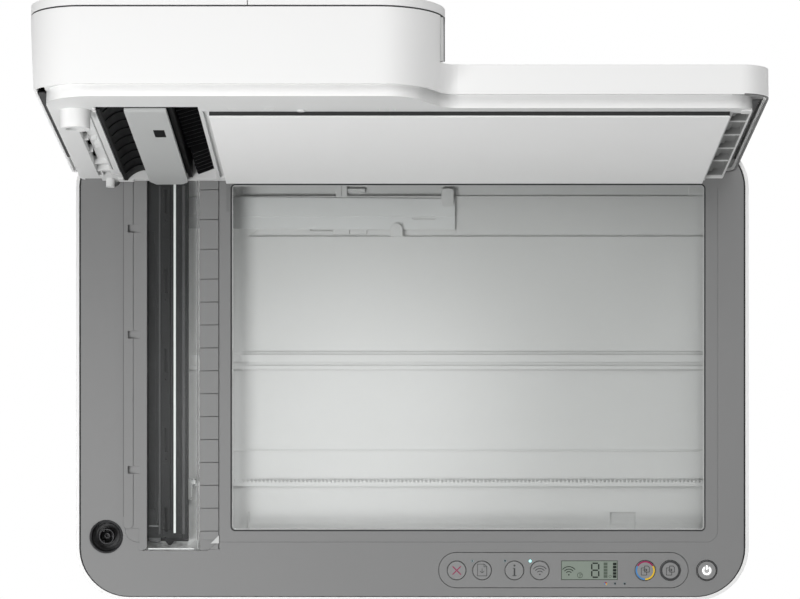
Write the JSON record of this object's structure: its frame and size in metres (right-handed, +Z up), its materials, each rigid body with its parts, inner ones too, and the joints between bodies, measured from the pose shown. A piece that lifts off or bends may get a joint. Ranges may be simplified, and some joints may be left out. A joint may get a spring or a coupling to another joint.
{
  "type": "inkjet printer",
  "caption": "White inkjet all-in-one with a grey flatbed scanner, a control strip, and an open lid that carries a page feeder.",
  "frame": {"origin": "on the table below the middle of the base, midway across its width", "axes": "+X to the printer's right, +Y to its rear, +Z up"},
  "size_m": [0.431, 0.3599, 0.4287],
  "materials": {
    "white_housing": "fine grain, satin",
    "lid_white": "smooth satin",
    "liner_white": "smooth satin",
    "panel_grey": "fine grain, matte",
    "strip_grey": "smooth matte",
    "key_grey": "smooth matte",
    "glass": "polished",
    "bed_white": "smooth matte",
    "foam_white": "smooth sheet on foam",
    "plate_grey": "smooth matte",
    "guide_black": "satin",
    "sensor_black": "satin",
    "black_rubber": "matte",
    "black_plastic": "satin",
    "cartridge_black": "satin",
    "cartridge_color": "satin",
    "ribbon": "satin film",
    "nylon": "satin",
    "steel": "zinc plated",
    "motor_metal": "satin",
    "board_green": "solder mask",
    "display_glass": "polished",
    "light_guide": "clear",
    "station_grey": "satin"
  },
  "bodies": {
    "base": {"base_tray": "black_plastic", "side_housing": "white_housing", "rubber_feet": "black_rubber", "scanner_panel": "panel_grey", "scan_bed": "bed_white", "platen_glass": "glass", "feeder_glass": "glass", "coupling_cup": "black_rubber", "control_strip": "strip_grey", "display": "display_glass", "indicator_lights": "light_guide", "main_board": "board_green", "power_supply": "black_plastic", "power_inlet": "black_plastic", "carriage_rail": "steel", "guide_rod": "steel", "drive_belt": "black_plastic", "carriage_motor": "motor_metal", "service_station": "station_grey", "platen": "black_plastic", "feed_motor": "motor_metal", "paper_chute": "black_plastic", "ribbon_cable": "ribbon", "hinge_set": "liner_white"},
    "lid": {"lid_shell": "lid_white", "lid_liner": "liner_white", "foam_pad": "foam_white", "press_plate": "plate_grey", "feeder_guides": "guide_black", "feeder_tray": "lid_white"},
    "feeder_cover": {"feeder_cover": "lid_white"},
    "feeder_rollers": {"feeder_rollers": "steel"},
    "front_page_guide": {"front_page_guide": "liner_white"},
    "rear_page_guide": {"rear_page_guide": "liner_white"},
    "feeder_drive": {"feeder_drive": "black_plastic"},
    "print_carriage": {"print_carriage": "black_plastic", "black_cartridge": "cartridge_black", "color_cartridge": "cartridge_color"},
    "motor_pulley": {"motor_pulley": "nylon"},
    "idler_pulley": {"idler_pulley": "nylon"},
    "feed_roller": {"feed_roller": "steel"},
    "feed_pinion": {"feed_pinion": "nylon"},
    "pinch_rollers": {"pinch_rollers": "steel"},
    "output_roller": {"output_roller": "steel"},
    "star_wheels": {"star_wheels": "nylon"},
    "paper_support": {"paper_support": "black_plastic"},
    "paper_guide": {"paper_guide": "black_plastic"},
    "front_door": {"front_door": "white_housing"},
    "output_tray": {"output_tray": "black_plastic"},
    "tray_extender": {"tray_extender": "black_plastic"},
    "scan_carriage": {"scan_carriage": "sensor_black", "image_sensor": "sensor_black"},
    "scan_pinion": {"scan_pinion": "nylon"},
    "button_cancel": {"button_cancel": "key_grey"},
    "button_resume": {"button_resume": "key_grey"},
    "button_info": {"button_info": "key_grey"},
    "button_wireless": {"button_wireless": "key_grey"},
    "button_color_copy": {"button_color_copy": "key_grey"},
    "button_black_copy": {"button_black_copy": "key_grey"},
    "button_power": {"button_power": "key_grey"}
  },
  "joints": [
    {"name": "lid_hinge", "type": "hinge", "parent": "base", "child": "lid", "pos_m": [0, 0.107, 0.1495], "axis": [1, 0, 0], "range_deg": [0, 98.2]},
    {"name": "feeder_cover_hinge", "type": "hinge", "parent": "lid", "child": "feeder_cover", "pos_m": [-0.2168, 0.16591, 0.24912], "axis": [0, 0.1426, 0.9898], "range_deg": [0, 70]},
    {"name": "feeder_rollers_spin", "type": "hinge", "parent": "lid", "child": "feeder_rollers", "pos_m": [-0.15, 0.14453, 0.2522], "axis": [0, -0.1426, -0.9898], "continuous": true},
    {"name": "front_page_guide_slide", "type": "slide", "parent": "lid", "child": "front_page_guide", "axis": [0, -0.1426, -0.9898], "range_m": [0, 0.06]},
    {"name": "rear_page_guide_slide", "type": "slide", "parent": "lid", "child": "rear_page_guide", "axis": [0, -0.1426, -0.9898], "range_m": [-0.06, 0]},
    {"name": "feeder_drive_spin", "type": "hinge", "parent": "base", "child": "feeder_drive", "pos_m": [-0.193, -0.1235, 0.13], "axis": [0, 0, 1], "continuous": true},
    {"name": "press_cancel", "type": "slide", "parent": "base", "child": "button_cancel", "axis": [0, 0, -1], "range_m": [0, 0.0008], "stiffness_N_per_m": 800},
    {"name": "press_resume", "type": "slide", "parent": "base", "child": "button_resume", "axis": [0, 0, -1], "range_m": [0, 0.0008], "stiffness_N_per_m": 800},
    {"name": "press_info", "type": "slide", "parent": "base", "child": "button_info", "axis": [0, 0, -1], "range_m": [0, 0.0008], "stiffness_N_per_m": 800},
    {"name": "press_wireless", "type": "slide", "parent": "base", "child": "button_wireless", "axis": [0, 0, -1], "range_m": [0, 0.0008], "stiffness_N_per_m": 800},
    {"name": "press_color_copy", "type": "slide", "parent": "base", "child": "button_color_copy", "axis": [0, 0, -1], "range_m": [0, 0.0008], "stiffness_N_per_m": 800},
    {"name": "press_black_copy", "type": "slide", "parent": "base", "child": "button_black_copy", "axis": [0, 0, -1], "range_m": [0, 0.0008], "stiffness_N_per_m": 800},
    {"name": "press_power", "type": "slide", "parent": "base", "child": "button_power", "axis": [0, 0, -1], "range_m": [0, 0.0008], "stiffness_N_per_m": 800},
    {"name": "print_carriage_slide", "type": "slide", "parent": "base", "child": "print_carriage", "axis": [1, 0, 0], "range_m": [-0.256, 0]},
    {"name": "motor_pulley_spin", "type": "hinge", "parent": "base", "child": "motor_pulley", "pos_m": [-0.186, 0.018, 0.09], "axis": [0, 1, 0], "continuous": true},
    {"name": "idler_pulley_spin", "type": "hinge", "parent": "base", "child": "idler_pulley", "pos_m": [0.2, 0.018, 0.09], "axis": [0, 1, 0], "continuous": true},
    {"name": "feed_roller_spin", "type": "hinge", "parent": "base", "child": "feed_roller", "pos_m": [0, 0.036, 0.046], "axis": [1, 0, 0], "continuous": true},
    {"name": "feed_pinion_spin", "type": "hinge", "parent": "base", "child": "feed_pinion", "pos_m": [-0.184, 0.05959, 0.06252], "axis": [1, 0, 0], "continuous": true},
    {"name": "pinch_rollers_spin", "type": "hinge", "parent": "base", "child": "pinch_rollers", "pos_m": [0, 0.0364, 0.0571], "axis": [1, 0, 0], "continuous": true},
    {"name": "output_roller_spin", "type": "hinge", "parent": "base", "child": "output_roller", "pos_m": [0, -0.058, 0.0492], "axis": [1, 0, 0], "continuous": true},
    {"name": "star_wheels_spin", "type": "hinge", "parent": "base", "child": "star_wheels", "pos_m": [0, -0.058, 0.0591], "axis": [1, 0, 0], "continuous": true},
    {"name": "paper_support_slide", "type": "slide", "parent": "base", "child": "paper_support", "axis": [0, 0.5, 0.866], "range_m": [0, 0.09]},
    {"name": "paper_guide_slide", "type": "slide", "parent": "base", "child": "paper_guide", "axis": [-1, 0, 0], "range_m": [0, 0.085]},
    {"name": "front_door_hinge", "type": "hinge", "parent": "base", "child": "front_door", "pos_m": [0, -0.1581, 0.0695], "axis": [1, 0, 0], "range_deg": [0, 92]},
    {"name": "output_tray_slide", "type": "slide", "parent": "base", "child": "output_tray", "axis": [0, -1, 0], "range_m": [0, 0.07]},
    {"name": "tray_extender_slide", "type": "slide", "parent": "output_tray", "child": "tray_extender", "axis": [0, -1, 0], "range_m": [0, 0.07]},
    {"name": "scan_carriage_slide", "type": "slide", "parent": "base", "child": "scan_carriage", "axis": [1, 0, 0], "range_m": [0, 0.333]},
    {"name": "scan_pinion_spin", "type": "hinge", "parent": "scan_carriage", "child": "scan_pinion", "pos_m": [-0.1545, -0.0841, 0.124], "axis": [0, 0, 1], "continuous": true}
  ],
  "couplings": [
    {"joint": "rear_page_guide_slide", "follows": "front_page_guide_slide", "ratio": -1},
    {"joint": "motor_pulley_spin", "follows": "print_carriage_slide", "rad_per_m": 217.39},
    {"joint": "idler_pulley_spin", "follows": "print_carriage_slide", "rad_per_m": 217.39},
    {"joint": "feed_pinion_spin", "follows": "feed_roller_spin", "ratio": -3},
    {"joint": "pinch_rollers_spin", "follows": "feed_roller_spin", "ratio": -1.75},
    {"joint": "output_roller_spin", "follows": "feed_roller_spin", "ratio": 1.4894},
    {"joint": "star_wheels_spin", "follows": "feed_roller_spin", "ratio": -1.4},
    {"joint": "scan_pinion_spin", "follows": "scan_carriage_slide", "rad_per_m": -208.33}
  ]
}
